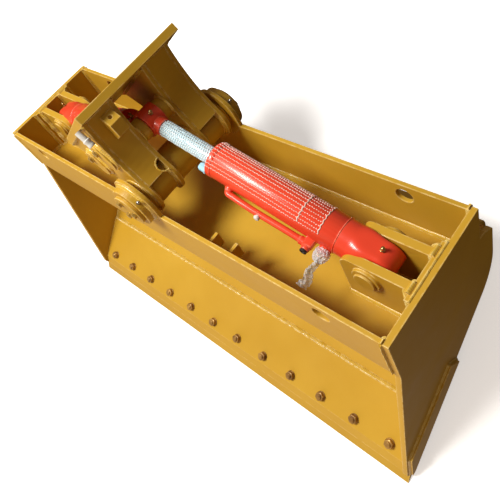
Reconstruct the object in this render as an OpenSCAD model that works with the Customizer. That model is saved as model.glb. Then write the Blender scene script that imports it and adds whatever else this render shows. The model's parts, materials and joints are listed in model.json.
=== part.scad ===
// Tilting ditching bucket for an excavator, standing on its flat sole.
// +X runs along the cutting edge, +Y from the edge to the back, +Z up.
// The origin is the middle of the cutting edge's ground face.

/* [Bucket] */
// Width over the two side plates
bucket_w = 1500; // [1300:10:1700]
// Angle between the sole and the trough's floor
sole_angle = 38; // [34:1:42]
// Height of the trough's front top edge above the ground
trough_z = 515; // [495:5:535]
// Distance of the trough's front top edge behind the origin
trough_y = 480; // [470:5:490]
// Trough length from the front face to the rear face
trough_l = 345; // [335:1:355]
// Trough height over its floor plate
trough_h = 165; // [155:1:170]
// Thickness of the side plates
side_t = 16; // [12:1:20]
// Thickness of the bent shell plate
shell_t = 10; // [8:1:12]
// Thickness of the trough's walls and floor
wall_t = 12; // [10:1:14]
// Outer radius of the bucket's heel
heel_r = 165; // [158:1:172]

/* [Cutting edge] */
// Length of the bolt-on edge from front to back
edge_l = 150; // [130:1:160]
// Thickness of the bolt-on edge and of the heel wear strips
edge_t = 16; // [12:1:20]
// Thickness of the welded base edge above it
base_edge_t = 20; // [16:1:24]
// Number of plow bolts along the edge
edge_bolt_n = 12; // [8:2:14]
// Shank radius of a plow bolt
edge_bolt_r = 8; // [6:0.5:10]

/* [Tilt joint] */
// Tilt of the hanger to the left in the rest position
tilt = 35; // [0:1:35]
// Height of the tilt pivot above the trough's top edge
pivot_z = 28; // [25:1:32]
// Radius of the tilt pin
pin_r = 35; // [30:1:38]
// Running clearance on the radius of every pin
run_gap = 0.05; // [0.02:0.01:0.09]

/* [Hanger] */
// Half width of the mounting plate across the tilt axis
plate_a = 136; // [130:1:138]
// Height of the mounting plate's top above the tilt pivot
plate_top = 238; // [232:1:245]
// Thickness of the mounting plate
plate_t = 22; // [18:1:25]
// Thickness of the four webs
web_t = 12; // [10:1:12]
// Sideways distance of a rod pin from the hanger's centre line
rod_pin_x = 50; // [48:1:52]
// Height of the rod pins above the tilt pivot
rod_pin_z = 116; // [112:1:118]

/* [Cylinders] */
// Sideways distance of a base pin from the bucket's centre
base_pin_x = 618; // [612:1:622]
// Depth of the base pins below the trough's top edge
base_pin_drop = 40; // [38:1:44]
// Outer radius of a barrel
barrel_r = 44; // [42:1:46]
// Bore radius of a barrel
bore_r = 35; // [33:1:36]
// Radius of a piston rod
rod_r = 20; // [18:1:22]
// Radius of the base pins and rod pins
cyl_pin_r = 20; // [18:1:22]
// Outer radius of a rod eye
rod_eye_r = 36; // [35:1:37]
// Distance from the base pin to the gland's face
gland_x = 455; // [450:1:460]

/* [Lifting holes] */
// Radius of the four lifting holes
lift_r = 22; // [18:1:24]
// Distance of the lifting holes from the bucket's centre
lift_x = 580; // [560:1:590]
// Depth of the lifting holes below the trough's top edge
lift_drop = 38; // [36:1:44]

/* [Hidden] */

$fn = 64;
LEFT = -1;
RIGHT = 1;
yellow = [0.80, 0.58, 0.15];
dark_yellow = [0.62, 0.44, 0.12];
red = [0.85, 0.22, 0.12];
steel = [0.62, 0.62, 0.64];
chrome = [0.85, 0.90, 0.93];
bronze = [0.70, 0.52, 0.25];
plastic = [0.80, 0.90, 0.95];

// Widths and the trough's own frame: y from its front face, z up from its top edge.
inner_x = bucket_w / 2 - side_t;
mid_y = trough_l / 2;
boss_r = 75;
boss_l = 22;
boss_out_r = 62;
lug_t = 22;
lug_gap = 64;
lug_x = 550;
lug_top_r = 30;
pad_t = 12;
pad_l = 150;

// Sole and shell, in the row's frame.
edge_y = edge_l / 2;
sole_z = edge_t;
base_edge_y = [-40, 165];
heel_y = 518;
heel_turn = 90 - sole_angle;
back_l = 92;
top_bend_r = 60;
top_bend_turn = 45;
notch_h = 46;
notch_l = 24;
weld_gap = 0.05;
bolt_pitch = (bucket_w - 2 * side_t) / edge_bolt_n;
bolt_y = 20;
nut_r = 15;
nut_h = 14;
head_r = 14;
wear_w = 60;
wear_y = [240, 515];
wear_pitch = 300;

// Hanger, in its own frame: x across, y along the tilt pin, z up to the mounting plate.
plate_z = plate_top - plate_t;
plate_y = [24, 362];
web_out = 26;
web_in = mid_y - 65.5;
web_waist = 62;
web_top = 126;
web_flare_z = 20;
side_sheet_t = 6;
side_port_r = 20;
side_port_z = 22;
tube_r = 50;
tube_gap = 1;
bush_l = 60;
bush_t = 5;
collar_r = 30;
stub_gap = 1;
flag_t = 11;
flag_l = 38;
flag_r = 22;
gusset_hole_r = 5;
gusset_y = 68;
gusset_l = 36;

// Cylinders, in their own frame: x from the base pin to the rod eye, y along the pins.
eye_r = 44;
eye_w = 60;
cap_x = 75;
cap_t = 20;
barrel_x = 95;
gland_face_t = 15;
gland_l = 55;
piston_w = 50;
piston_back = 318;
piston_gap = 0.05;
rod_eye_w = 50;
neck_l = 26;
neck_r = 23.5;
bush_wall = 5;
pipe_r = 7;
pipe_off = 15;
pipe_x = [150, 385];
plug_x = 285;
port_x = 112;
port_r = 14;
sleeve_t = 2;
sleeve_x = [192, 438];
cap_r = 10.5;
cap_l = 22;
cap_y = -35.5;

// Points of the linkage at rest: the rod pins in the trough's frame.
function rod_pin(side) = [
    side * rod_pin_x * cos(tilt) - rod_pin_z * sin(tilt),
    pivot_z + side * rod_pin_x * sin(tilt) + rod_pin_z * cos(tilt)
];
function reach(side) = base_pin_x + side * -rod_pin(side)[0];
function rise(side) = base_pin_drop + rod_pin(side)[1];
function cyl_angle(side) = atan2(rise(side), reach(side));
function cyl_len(side) = norm([rise(side), reach(side)]);

// Turns a point of the trough's frame into the row's frame.
function row(y, z) = [
    trough_y + y * cos(sole_angle) + z * sin(sole_angle),
    trough_z - y * sin(sole_angle) + z * cos(sole_angle)
];
function arc(c, r, a0, a1, n) = [
    for (i = [0:n]) let (a = a0 + (a1 - a0) * i / n) c + r * [cos(a), sin(a)]
];
// Half width of a web at height z: a waist that flares towards the mounting plate.
function web_half(z) = z < web_flare_z ? web_waist
    : web_waist + (web_top - web_waist) * pow((z - web_flare_z) / (plate_z - web_flare_z), 2);

// ---- Placing ----

// Extrudes a (y, z) outline along X.
module across(x, w) {
    translate([x, 0, 0]) rotate([90, 0, 90]) linear_extrude(w) children();
}

// Extrudes an (x, z) outline along Y.
module along(y, l) {
    translate([0, y + l, 0]) rotate([90, 0, 0]) linear_extrude(l) children();
}

// A round bar along Y.
module bar_y(r, y, l) {
    translate([0, y, 0]) rotate([-90, 0, 0]) cylinder(r = r, h = l);
}

// A round bar along X.
module bar_x(r, x, l) {
    translate([x, 0, 0]) rotate([0, 90, 0]) cylinder(r = r, h = l);
}

module ring_y(r, hole, y, l) {
    difference() {
        bar_y(r, y, l);
        bar_y(hole, y - 1, l + 2);
    }
}

module ring_x(r, hole, x, l) {
    difference() {
        bar_x(r, x, l);
        bar_x(hole, x - 1, l + 2);
    }
}

module on_trough() {
    translate([0, trough_y, trough_z]) rotate([-sole_angle, 0, 0]) children();
}

module on_pivot() {
    on_trough() translate([0, 0, pivot_z]) children();
}

module on_hanger() {
    on_pivot() rotate([0, -tilt, 0]) children();
}

module at_base_pin(side) {
    on_trough() translate([side * base_pin_x, mid_y, -base_pin_drop]) children();
}

module on_cylinder(side) {
    at_base_pin(side) mirror([side == RIGHT ? 1 : 0, 0, 0])
        rotate([0, -cyl_angle(side), 0]) children();
}

module at_rod_eye(side) {
    on_cylinder(side) translate([cyl_len(side), 0, 0]) children();
}

// ---- Bucket ----

module side_outline() {
    heel_c = [heel_y, sole_z + heel_r];
    polygon(concat(
        [row(0, 0), row(trough_l, 0), row(trough_l, shell_top_z() - notch_h)],
        [row(trough_l + notch_l, shell_top_z() - notch_h - 6), row(back_yt(), back_zt())],
        arc(heel_c, heel_r, heel_turn - 90, -90, 16),
        [[base_edge_y[0] + 35, sole_z], [base_edge_y[0], sole_z + 6], [base_edge_y[0] + 4, sole_z + 20],
         row(0, -trough_h)]
    ));
}

// The back plate's top outer corner, in the trough's frame.
function heel_end() = [heel_y + heel_r * sin(heel_turn), sole_z + heel_r - heel_r * cos(heel_turn)];
function back_yt() = (heel_end()[0] - trough_y) * cos(sole_angle)
    - (heel_end()[1] - trough_z) * sin(sole_angle);
function back_zt() = (heel_end()[0] - trough_y) * sin(sole_angle)
    + (heel_end()[1] - trough_z) * cos(sole_angle) + back_l;

// Where the back plate's outer face meets the trough's rear wall, in the trough's frame.
function shell_top_z() = let (
    bend_a = 90 - top_bend_turn,
    top = [back_yt() - top_bend_r, back_zt()] + top_bend_r * [cos(bend_a), sin(bend_a)]
) top[1] + (top[0] - trough_l) / tan(bend_a);

module side_plate(side) {
    x = side == LEFT ? -bucket_w / 2 : inner_x;
    color(yellow) across(x, side_t) side_outline();
}

// The shell's outline, inset by t from its outer face, from the sole round the heel to its top.
function shell_line(t) = let (
    bend_a = 90 - top_bend_turn,
    bend_y = back_yt() - top_bend_r,
    top = [bend_y, back_zt()] + (top_bend_r - t) * [cos(bend_a), sin(bend_a)]
) concat(
    [[base_edge_y[1], sole_z + t]],
    arc([heel_y, sole_z + heel_r], heel_r - t, -90, -sole_angle, 24),
    arc(row(bend_y, back_zt()), top_bend_r - t, -sole_angle, bend_a - sole_angle, 10),
    [row(trough_l + weld_gap, top[1] + (top[0] - trough_l) / tan(bend_a))]
);

module shell() {
    inner = shell_line(shell_t);
    color(yellow) across(-inner_x, 2 * inner_x)
        polygon(concat(shell_line(0), [for (i = [len(inner) - 1:-1:0]) inner[i]]));
}

module trough_floor() {
    color(yellow) on_trough() translate([-inner_x, wall_t, -trough_h])
        cube([2 * inner_x, trough_l - wall_t, wall_t]);
}

// A long wall of the trough with a round notch for the pivot boss and two lifting holes.
module long_wall(y, z_low) {
    on_trough() difference() {
        translate([-inner_x, y, z_low]) cube([2 * inner_x, wall_t, -z_low]);
        translate([0, 0, pivot_z]) bar_y(boss_r, y - 1, wall_t + 2);
        for (side = [LEFT, RIGHT])
            translate([side * lift_x, 0, -lift_drop]) bar_y(lift_r, y - 1, wall_t + 2);
    }
}

module front_wall() {
    color(yellow) long_wall(0, -trough_h);
}

module rear_wall() {
    color(yellow) long_wall(trough_l - wall_t, wall_t - trough_h);
}

module end_pads() {
    color(yellow) on_trough() for (side = [LEFT, RIGHT])
        translate([side == LEFT ? -inner_x : inner_x - pad_t, mid_y - pad_l / 2, wall_t - trough_h])
            cube([pad_t, pad_l, trough_h - wall_t]);
}

// A lug that carries a base pin, with its inner top corner rounded.
module lug(side, y) {
    x_end = inner_x - pad_t;
    z_low = wall_t - trough_h;
    boss_y = y < mid_y ? y - 8 : y + lug_t;
    on_trough() difference() {
        union() {
            mirror([side == LEFT ? 1 : 0, 0, 0]) along(y, lug_t) polygon(concat(
                [[lug_x, z_low], [x_end, z_low], [x_end, 0]],
                arc([lug_x + lug_top_r, -lug_top_r], lug_top_r, 90, 180, 12)
            ));
            translate([side * base_pin_x, 0, -base_pin_drop]) bar_y(34, boss_y, 8);
        }
        translate([side * base_pin_x, 0, -base_pin_drop])
            bar_y(cyl_pin_r + run_gap, y - 10, lug_t + 20);
    }
}

front_lug_y = mid_y - lug_gap / 2 - lug_t;
rear_lug_y = mid_y + lug_gap / 2;

module lug_left_front() {
    color(yellow) lug(LEFT, front_lug_y);
}

module lug_left_rear() {
    color(yellow) lug(LEFT, rear_lug_y);
}

module lug_right_front() {
    color(yellow) lug(RIGHT, front_lug_y);
}

module lug_right_rear() {
    color(yellow) lug(RIGHT, rear_lug_y);
}

function bolt_x(i) = (i - (edge_bolt_n - 1) / 2) * bolt_pitch;

module edge_bolt_holes(z, h) {
    for (i = [0:edge_bolt_n - 1])
        translate([bolt_x(i), bolt_y, z]) cylinder(r = edge_bolt_r + 0.5, h = h);
}

module base_edge() {
    y0 = base_edge_y[0];
    color(yellow) difference() {
        across(-inner_x, 2 * inner_x) polygon([
            [y0, sole_z], [base_edge_y[1], sole_z], [base_edge_y[1], sole_z + base_edge_t],
            [y0 + 32, sole_z + base_edge_t], [y0, sole_z + 6]
        ]);
        edge_bolt_holes(sole_z - 1, base_edge_t + 2);
    }
}

module bolt_on_edge() {
    half = bucket_w / 2;
    color(yellow) difference() {
        across(-half, bucket_w) polygon([
            [-edge_y, 0], [edge_y, 0], [edge_y, edge_t], [-edge_y + 34, edge_t], [-edge_y, 3]
        ]);
        edge_bolt_holes(-1, edge_t + 2);
        for (i = [0:edge_bolt_n - 1])
            translate([bolt_x(i), bolt_y, -1]) cylinder(r = head_r + 0.5, h = 8);
    }
}

module edge_bolts() {
    color(steel) for (i = [0:edge_bolt_n - 1]) translate([bolt_x(i), bolt_y, 0]) {
        translate([0, 0, 0.5]) cylinder(r = head_r, h = 6);
        translate([0, 0, 6]) cylinder(r = edge_bolt_r, h = sole_z + base_edge_t + nut_h - 2);
    }
}

module edge_nuts() {
    color(steel) for (i = [0:edge_bolt_n - 1])
        translate([bolt_x(i), bolt_y, sole_z + base_edge_t]) difference() {
            cylinder(r = nut_r, h = nut_h, $fn = 6);
            translate([0, 0, -1]) cylinder(r = edge_bolt_r, h = nut_h + 2);
        }
}

module wear_strips() {
    color(dark_yellow) for (i = [-2:2])
        translate([i * wear_pitch - wear_w / 2, wear_y[0], 0])
            cube([wear_w, wear_y[1] - wear_y[0], edge_t]);
}

module side_cutters() {
    color(yellow) for (side = [LEFT, RIGHT])
        across(side == LEFT ? -bucket_w / 2 - 10 : bucket_w / 2, 10) polygon([
            [-30, sole_z + 10], [-20, sole_z + 1], [330, sole_z + 1], [330, sole_z + 60],
            [45, sole_z + 76]
        ]);
}

// ---- Tilt pin and its housings ----

// The boss outside a long wall, on the disc that is let into the wall's notch and rises above it.
module pivot_boss(y, wall_y) {
    color(yellow) on_pivot() difference() {
        union() {
            bar_y(boss_out_r, y, boss_l);
            bar_y(boss_r, wall_y, wall_t);
            translate([-boss_r, wall_y, -pivot_z]) cube([2 * boss_r, wall_t, pivot_z]);
        }
        bar_y(pin_r + run_gap, -boss_l - 1, trough_l + 2 * boss_l + 2);
    }
}

module front_pivot_boss() {
    pivot_boss(-boss_l, 0);
}

module rear_pivot_boss() {
    pivot_boss(trough_l, trough_l - wall_t);
}

module tilt_pin() {
    color(steel) on_pivot() bar_y(pin_r, -boss_l, trough_l + 2 * boss_l);
}

module pin_end_caps() {
    color(yellow) on_pivot() {
        bar_y(48, -boss_l - 10, 10);
        bar_y(48, trough_l + boss_l, 10);
    }
}

module end_cap_bolts() {
    color(steel) on_pivot() for (a = [0, 120, 240]) rotate([0, a, 0]) translate([28, 0, 0]) {
        translate([0, -boss_l - 10, 0]) rotate([90, 0, 0]) cylinder(r = 9, h = 8, $fn = 6);
        translate([0, trough_l + boss_l + 10, 0]) rotate([-90, 0, 0])
            cylinder(r = 9, h = 8, $fn = 6);
    }
}

module base_pin(side) {
    l = lug_gap + 2 * lug_t;
    color(steel) at_base_pin(side) {
        bar_y(cyl_pin_r, -l / 2 - 8, l + 16);
        bar_y(26, -l / 2 - 14, 6);
        bar_y(26, l / 2 + 8, 6);
    }
}

module left_base_pin() {
    base_pin(LEFT);
}

module right_base_pin() {
    base_pin(RIGHT);
}

module trough_brackets() {
    color(yellow) on_trough() {
        for (x = [215, 285]) translate([x, wall_t, -80]) cube([10, 38, 42]);
        translate([-165, wall_t, -80]) cube([10, 38, 42]);
    }
}

// ---- Hanger ----

module mounting_plate() {
    color(yellow) on_hanger() translate([-plate_a, plate_y[0], plate_z])
        cube([2 * plate_a, plate_y[1] - plate_y[0], plate_t]);
}

module web_outline() {
    z_steps = [for (i = [0:12]) plate_z * i / 12];
    polygon(concat(
        [for (z = z_steps) [web_half(z), z]],
        [for (i = [12:-1:0]) [-web_half(z_steps[i]), z_steps[i]]]
    ));
    circle(r = web_waist);
}

module web(y) {
    color(yellow) on_hanger() difference() {
        along(y, web_t) web_outline();
        bar_y(tube_r, y - 1, web_t + 2);
        for (side = [LEFT, RIGHT]) translate([side * rod_pin_x, 0, rod_pin_z])
            bar_y(cyl_pin_r, y - 1, web_t + 2);
    }
}

module front_outer_web() {
    web(web_out);
}

module front_inner_web() {
    web(web_in);
}

module rear_inner_web() {
    web(trough_l - web_in - web_t);
}

module rear_outer_web() {
    web(trough_l - web_out - web_t);
}

// The two curved side sheets that close the box between a pair of webs.
module box_sides(y) {
    l = web_in - web_out - web_t;
    z0 = 8;
    steps = [for (i = [0:12]) z0 + (plate_z - z0) * i / 12];
    color(yellow) on_hanger() for (side = [LEFT, RIGHT]) along(y, l) polygon(concat(
        [for (z = steps) [side * web_half(z), z]],
        [for (i = [12:-1:0]) [side * (web_half(steps[i]) - side_sheet_t), steps[i]]]
    ));
}

// The right front sheet has a half round cut at its inner edge, beside the cylinder's rod.
module front_box_sides() {
    difference() {
        box_sides(web_out + web_t);
        on_hanger() translate([0, web_in, side_port_z])
            bar_x(side_port_r, web_waist / 2, web_waist);
    }
}

module rear_box_sides() {
    box_sides(trough_l - web_in);
}

module pivot_tube() {
    y0 = wall_t + tube_gap;
    color(yellow) on_hanger() ring_y(tube_r, pin_r + bush_t, y0, trough_l - 2 * y0);
}

module pivot_bushes() {
    y0 = wall_t + tube_gap;
    color(bronze) on_hanger() {
        ring_y(pin_r + bush_t, pin_r + run_gap, y0, bush_l);
        ring_y(pin_r + bush_t, pin_r + run_gap, trough_l - y0 - bush_l, bush_l);
    }
}

// Each rod pin is a front and a rear stub, and the rod eye swings between the two.
module rod_pins() {
    y_eye = mid_y - rod_eye_w / 2 - stub_gap;
    y_web = web_in + web_t;
    l_front = y_eye - web_out;
    color(steel) on_hanger() for (side = [LEFT, RIGHT])
        translate([side * rod_pin_x, 0, rod_pin_z]) {
            bar_y(cyl_pin_r, web_out - flag_t, l_front + flag_t);
            ring_y(collar_r, cyl_pin_r, y_web, y_eye - y_web);
            bar_y(cyl_pin_r, trough_l - y_eye, l_front);
            ring_y(collar_r, cyl_pin_r, trough_l - y_eye, y_eye - y_web);
            along(web_out - flag_t, flag_t) {
                circle(r = flag_r);
                translate([-flag_r, 0]) square([2 * flag_r, flag_l]);
                translate([0, flag_l]) circle(r = flag_r);
            }
        }
}

module rod_pin_bolts() {
    color(steel) on_hanger() for (side = [LEFT, RIGHT])
        translate([side * rod_pin_x, web_out - flag_t, rod_pin_z + flag_l])
            rotate([90, 0, 0]) cylinder(r = 9, h = 7, $fn = 6);
}

// A small box bracket on the front box, with a hole in its sloping face for a hose clip.
module hose_gusset() {
    top = [web_half(203) + 0.2, 203];
    corner = [plate_a - 4, 172];
    steps = [for (z = [140:12:200]) z];
    slope = atan2(top[0] - corner[0], top[1] - corner[1]);
    color(yellow) on_hanger() difference() {
        along(gusset_y, gusset_l) polygon(concat(
            [top, corner, [corner[0] - 14, steps[0]]], [for (z = steps) [web_half(z) + 0.2, z]]
        ));
        translate([(top[0] + corner[0]) / 2, gusset_y + gusset_l / 2, (top[1] + corner[1]) / 2])
            rotate([0, 90 + slope, 0]) translate([0, 0, -8]) cylinder(r = gusset_hole_r, h = 30);
    }
}

// A short round spigot under the front edge of the mounting plate.
module front_spigot() {
    color(plastic) on_hanger() translate([104, web_out - 14, plate_z - 46]) {
        cylinder(r = 8, h = 46);
        cylinder(r = 10, h = 18);
    }
}

// ---- Cylinders ----

module barrel(side) {
    color(red) on_cylinder(side) ring_x(barrel_r, bore_r, barrel_x, gland_x - gland_face_t - barrel_x);
}

module base_eye(side) {
    color(red) on_cylinder(side) difference() {
        union() {
            bar_y(eye_r, -eye_w / 2, eye_w);
            translate([0, -eye_w / 2, -36]) cube([cap_x, eye_w, 72]);
            bar_x(barrel_r, cap_x, cap_t);
        }
        bar_y(cyl_pin_r + bush_wall, -eye_w, 2 * eye_w);
    }
}

module base_bush(side) {
    color(bronze) on_cylinder(side)
        ring_y(cyl_pin_r + bush_wall, cyl_pin_r + run_gap, -eye_w / 2, eye_w);
}

module gland(side) {
    color(red) on_cylinder(side) difference() {
        union() {
            bar_x(barrel_r + 1, gland_x - gland_face_t, gland_face_t);
            bar_x(bore_r, gland_x - gland_l, gland_l);
        }
        bar_x(rod_r + run_gap, gland_x - gland_l - 1, gland_l + 2);
    }
}

// The pipe that feeds the rod end, between a block on the barrel and one by the gland.
module feed_pipe(side) {
    z = -pipe_off;
    y = -barrel_r - pipe_r - 3;
    color(red) on_cylinder(side) difference() {
        union() {
            translate([0, y, z]) bar_x(pipe_r, pipe_x[0], pipe_x[1] - pipe_x[0]);
            for (x = pipe_x) translate([x - 11, y - 9, z - 10]) cube([22, 26, 20]);
            translate([port_x, y + 16, z]) rotate([90, 0, 0]) cylinder(r = port_r, h = 20);
        }
        bar_x(barrel_r, 0, gland_x);
    }
}

module port_caps(side) {
    y = -barrel_r - pipe_r - 3;
    color(plastic) on_cylinder(side) {
        translate([port_x, y - 4, -pipe_off]) rotate([90, 0, 0]) cylinder(r = cap_r, h = 14);
        translate([plug_x, y - pipe_r, -pipe_off]) rotate([90, 0, 0]) cylinder(r = 6, h = 12);
        translate([0, cap_y, 0]) bar_x(cap_r, gland_x, cap_l);
    }
}

module net_sleeve() {
    color([0.93, 0.45, 0.38]) on_cylinder(RIGHT) difference() {
        ring_x(barrel_r + sleeve_t, barrel_r, sleeve_x[0], sleeve_x[1] - sleeve_x[0]);
        translate([pipe_x[0] - 11, -2 * barrel_r, -pipe_off - 10])
            cube([pipe_x[1] - pipe_x[0] + 22, 2 * barrel_r, 20]);
    }
}

module piston(side) {
    x = cyl_len(side) - piston_back - piston_w / 2;
    color(steel) on_cylinder(side) ring_x(bore_r - piston_gap, rod_r, x, piston_w);
}

module rod(side) {
    x = cyl_len(side) - piston_back - piston_w / 2;
    color(chrome) on_cylinder(side) bar_x(rod_r, x, cyl_len(side) - rod_eye_r - neck_l + 24 - x);
}

module rod_eye(side) {
    color(red) at_rod_eye(side) difference() {
        union() {
            bar_y(rod_eye_r, -rod_eye_w / 2, rod_eye_w);
            bar_x(neck_r, -rod_eye_r - neck_l + 14, 28);
        }
        bar_y(cyl_pin_r + bush_wall, -rod_eye_w, 2 * rod_eye_w);
        bar_x(rod_r, -rod_eye_r - neck_l, 24);
    }
}

module rod_bush(side) {
    color(bronze) at_rod_eye(side)
        ring_y(cyl_pin_r + bush_wall, cyl_pin_r + run_gap, -rod_eye_w / 2, rod_eye_w);
}

side_plate(LEFT);  // side_plate_left
side_plate(RIGHT);  // side_plate_right
shell();
trough_floor();
front_wall();
rear_wall();
end_pads();
lug_left_front();
lug_left_rear();
lug_right_front();
lug_right_rear();
base_edge();
bolt_on_edge();
edge_bolts();
edge_nuts();
wear_strips();
side_cutters();
front_pivot_boss();
rear_pivot_boss();
tilt_pin();
pin_end_caps();
end_cap_bolts();
left_base_pin();
right_base_pin();
trough_brackets();
mounting_plate();
front_outer_web();
front_inner_web();
rear_inner_web();
rear_outer_web();
front_box_sides();
rear_box_sides();
pivot_tube();
pivot_bushes();
rod_pins();
rod_pin_bolts();
hose_gusset();
front_spigot();
barrel(LEFT);  // left_barrel
base_eye(LEFT);  // left_base_eye
base_bush(LEFT);  // left_base_bush
gland(LEFT);  // left_gland
feed_pipe(LEFT);  // left_feed_pipe
port_caps(LEFT);  // left_port_caps
piston(LEFT);  // left_piston
rod(LEFT);  // left_rod
rod_eye(LEFT);  // left_rod_eye
rod_bush(LEFT);  // left_rod_bush
barrel(RIGHT);  // right_barrel
base_eye(RIGHT);  // right_base_eye
base_bush(RIGHT);  // right_base_bush
gland(RIGHT);  // right_gland
feed_pipe(RIGHT);  // right_feed_pipe
port_caps(RIGHT);  // right_port_caps
net_sleeve();
piston(RIGHT);  // right_piston
rod(RIGHT);  // right_rod
rod_eye(RIGHT);  // right_rod_eye
rod_bush(RIGHT);  // right_rod_bush
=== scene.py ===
"""Looks of the tilting ditching bucket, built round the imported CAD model: metres, row frame, +Z up."""

import json
import math
import random

import bmesh
import bpy
from mathutils import Matrix, Vector, noise


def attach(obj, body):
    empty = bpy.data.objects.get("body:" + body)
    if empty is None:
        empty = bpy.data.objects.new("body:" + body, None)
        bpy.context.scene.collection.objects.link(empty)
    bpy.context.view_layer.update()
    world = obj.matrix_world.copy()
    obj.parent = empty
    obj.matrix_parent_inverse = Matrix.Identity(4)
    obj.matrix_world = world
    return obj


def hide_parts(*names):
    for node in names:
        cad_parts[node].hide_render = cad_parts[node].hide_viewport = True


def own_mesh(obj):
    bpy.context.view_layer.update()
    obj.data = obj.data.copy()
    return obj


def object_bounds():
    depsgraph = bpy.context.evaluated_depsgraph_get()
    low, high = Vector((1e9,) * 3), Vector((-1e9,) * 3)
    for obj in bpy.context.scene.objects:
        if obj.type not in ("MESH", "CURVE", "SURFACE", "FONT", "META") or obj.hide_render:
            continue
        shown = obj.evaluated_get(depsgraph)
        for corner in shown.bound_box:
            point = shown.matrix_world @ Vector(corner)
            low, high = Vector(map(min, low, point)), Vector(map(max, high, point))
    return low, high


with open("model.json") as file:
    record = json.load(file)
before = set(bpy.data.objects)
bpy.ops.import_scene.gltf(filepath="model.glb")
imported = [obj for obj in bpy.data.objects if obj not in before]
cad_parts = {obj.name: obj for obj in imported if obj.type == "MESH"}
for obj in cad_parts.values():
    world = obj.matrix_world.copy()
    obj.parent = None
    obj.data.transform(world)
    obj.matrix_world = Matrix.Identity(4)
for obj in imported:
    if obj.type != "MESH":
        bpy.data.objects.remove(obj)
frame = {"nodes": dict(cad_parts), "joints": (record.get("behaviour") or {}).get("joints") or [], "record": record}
CAD_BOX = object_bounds()

# ---- Places, all worked out from the frame ----

JOINTS = {j["name"]: j for j in frame["joints"]}
MOUNTS = {m["name"]: m for m in frame["record"]["mounts"]}
X = Vector((1, 0, 0))
SIDES = {"left": -1, "right": 1}


def axes(origin, x, y, z):
    """The matrix of a local frame with these axes, which may be left-handed."""
    m = Matrix((x, y, z)).transposed().to_4x4()
    return Matrix.Translation(origin) @ m


def span(node, m):
    """Lowest and highest corner of a CAD node in the local frame m."""
    inv = m.inverted()
    points = [inv @ v.co for v in frame["nodes"][node].data.vertices]
    return Vector(map(min, zip(*points))), Vector(map(max, zip(*points)))


PIN = Vector(JOINTS["hanger_tilt"]["axis"])
PIVOT = Vector(JOINTS["hanger_tilt"]["pos_m"])
TROUGH = axes(PIVOT, X, PIN, X.cross(PIN))
HEAD_UP = Vector(MOUNTS["mounting_plate_face"]["axis"])
HEAD = axes(PIVOT, PIN.cross(HEAD_UP), PIN, HEAD_UP)
ROW = Matrix.Identity(4)


def cylinder_frame(side):
    """Origin at the base pin, x to the rod eye, y along the pin, z upwards."""
    x = Vector(JOINTS[side + "_rod_slide"]["axis"]) * (1 if side == "left" else -1)
    if (TROUGH.inverted().to_3x3() @ x).x * SIDES[side] > 0:
        x = -x
    z = x.cross(PIN)
    if (TROUGH.inverted().to_3x3() @ z).z < 0:
        z = -z
    return axes(Vector(JOINTS[side + "_barrel_swing"]["pos_m"]), x, PIN, z)


CYLINDER = {side: cylinder_frame(side) for side in SIDES}

# ---- Materials ----


class Nodes:
    """A short way to build a node material."""

    def __init__(self, name):
        self.material = bpy.data.materials.new(name)
        self.material.use_nodes = True
        self.tree = self.material.node_tree
        self.shader = self.tree.nodes["Principled BSDF"]
        self.place = self.tree.nodes.new("ShaderNodeTexCoord").outputs["Object"]

    def add(self, kind, values=(), **links):
        node = self.tree.nodes.new(kind)
        for key, value in dict(values).items():
            if hasattr(node, key):
                setattr(node, key, value)
            else:
                node.inputs[key].default_value = value
        for key, source in links.items():
            self.tree.links.new(source, node.inputs[key.replace("_", " ")])
        return node

    def noise(self, scale, detail=3, rough=0.55, vector=None):
        values = {"Scale": scale, "Detail": detail, "Roughness": rough}
        return self.add("ShaderNodeTexNoise", values, Vector=vector or self.place).outputs["Fac"]

    def ramp(self, fac, low, high, a=0.0, b=1.0):
        node = self.add("ShaderNodeMapRange", {"clamp": True}, Value=fac)
        for key, value in (("From Min", low), ("From Max", high), ("To Min", a), ("To Max", b)):
            node.inputs[key].default_value = value
        return node.outputs["Result"]

    def math(self, operation, a, b):
        node = self.add("ShaderNodeMath", {"operation": operation})
        for i, value in enumerate((a, b)):
            if isinstance(value, (int, float)):
                node.inputs[i].default_value = value
            else:
                self.tree.links.new(value, node.inputs[i])
        return node.outputs[0]

    def mix(self, fac, a, b):
        node = self.add("ShaderNodeMix", {"data_type": "RGBA"})
        for key, value in (("Factor", fac), ("A", a), ("B", b)):
            socket = next(s for s in node.inputs if s.name == key and s.enabled)
            if isinstance(value, tuple):
                socket.default_value = (*value, 1)
            elif isinstance(value, (int, float)):
                socket.default_value = value
            else:
                self.tree.links.new(value, socket)
        return next(s for s in node.outputs if s.enabled)

    def edges(self, radius):
        """1 along sharp outer edges and 0 elsewhere."""
        bevel = self.add("ShaderNodeBevel", {"samples": 4, "Radius": radius}).outputs["Normal"]
        normal = self.add("ShaderNodeNewGeometry").outputs["Normal"]
        node = self.add("ShaderNodeVectorMath", {"operation": "DOT_PRODUCT"})
        self.tree.links.new(bevel, node.inputs[0])
        self.tree.links.new(normal, node.inputs[1])
        return self.ramp(node.outputs["Value"], 0.995, 0.90)

    def bump(self, height, distance, strength=1.0):
        values = {"Distance": distance, "Strength": strength}
        return self.add("ShaderNodeBump", values, Height=height).outputs["Normal"]

    def set(self, **values):
        for key, value in values.items():
            socket = self.shader.inputs[key.replace("_", " ")]
            if isinstance(value, bpy.types.NodeSocket):
                self.tree.links.new(value, socket)
            elif isinstance(value, tuple):
                socket.default_value = (*value, 1)
            else:
                socket.default_value = value
        return self.material


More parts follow.
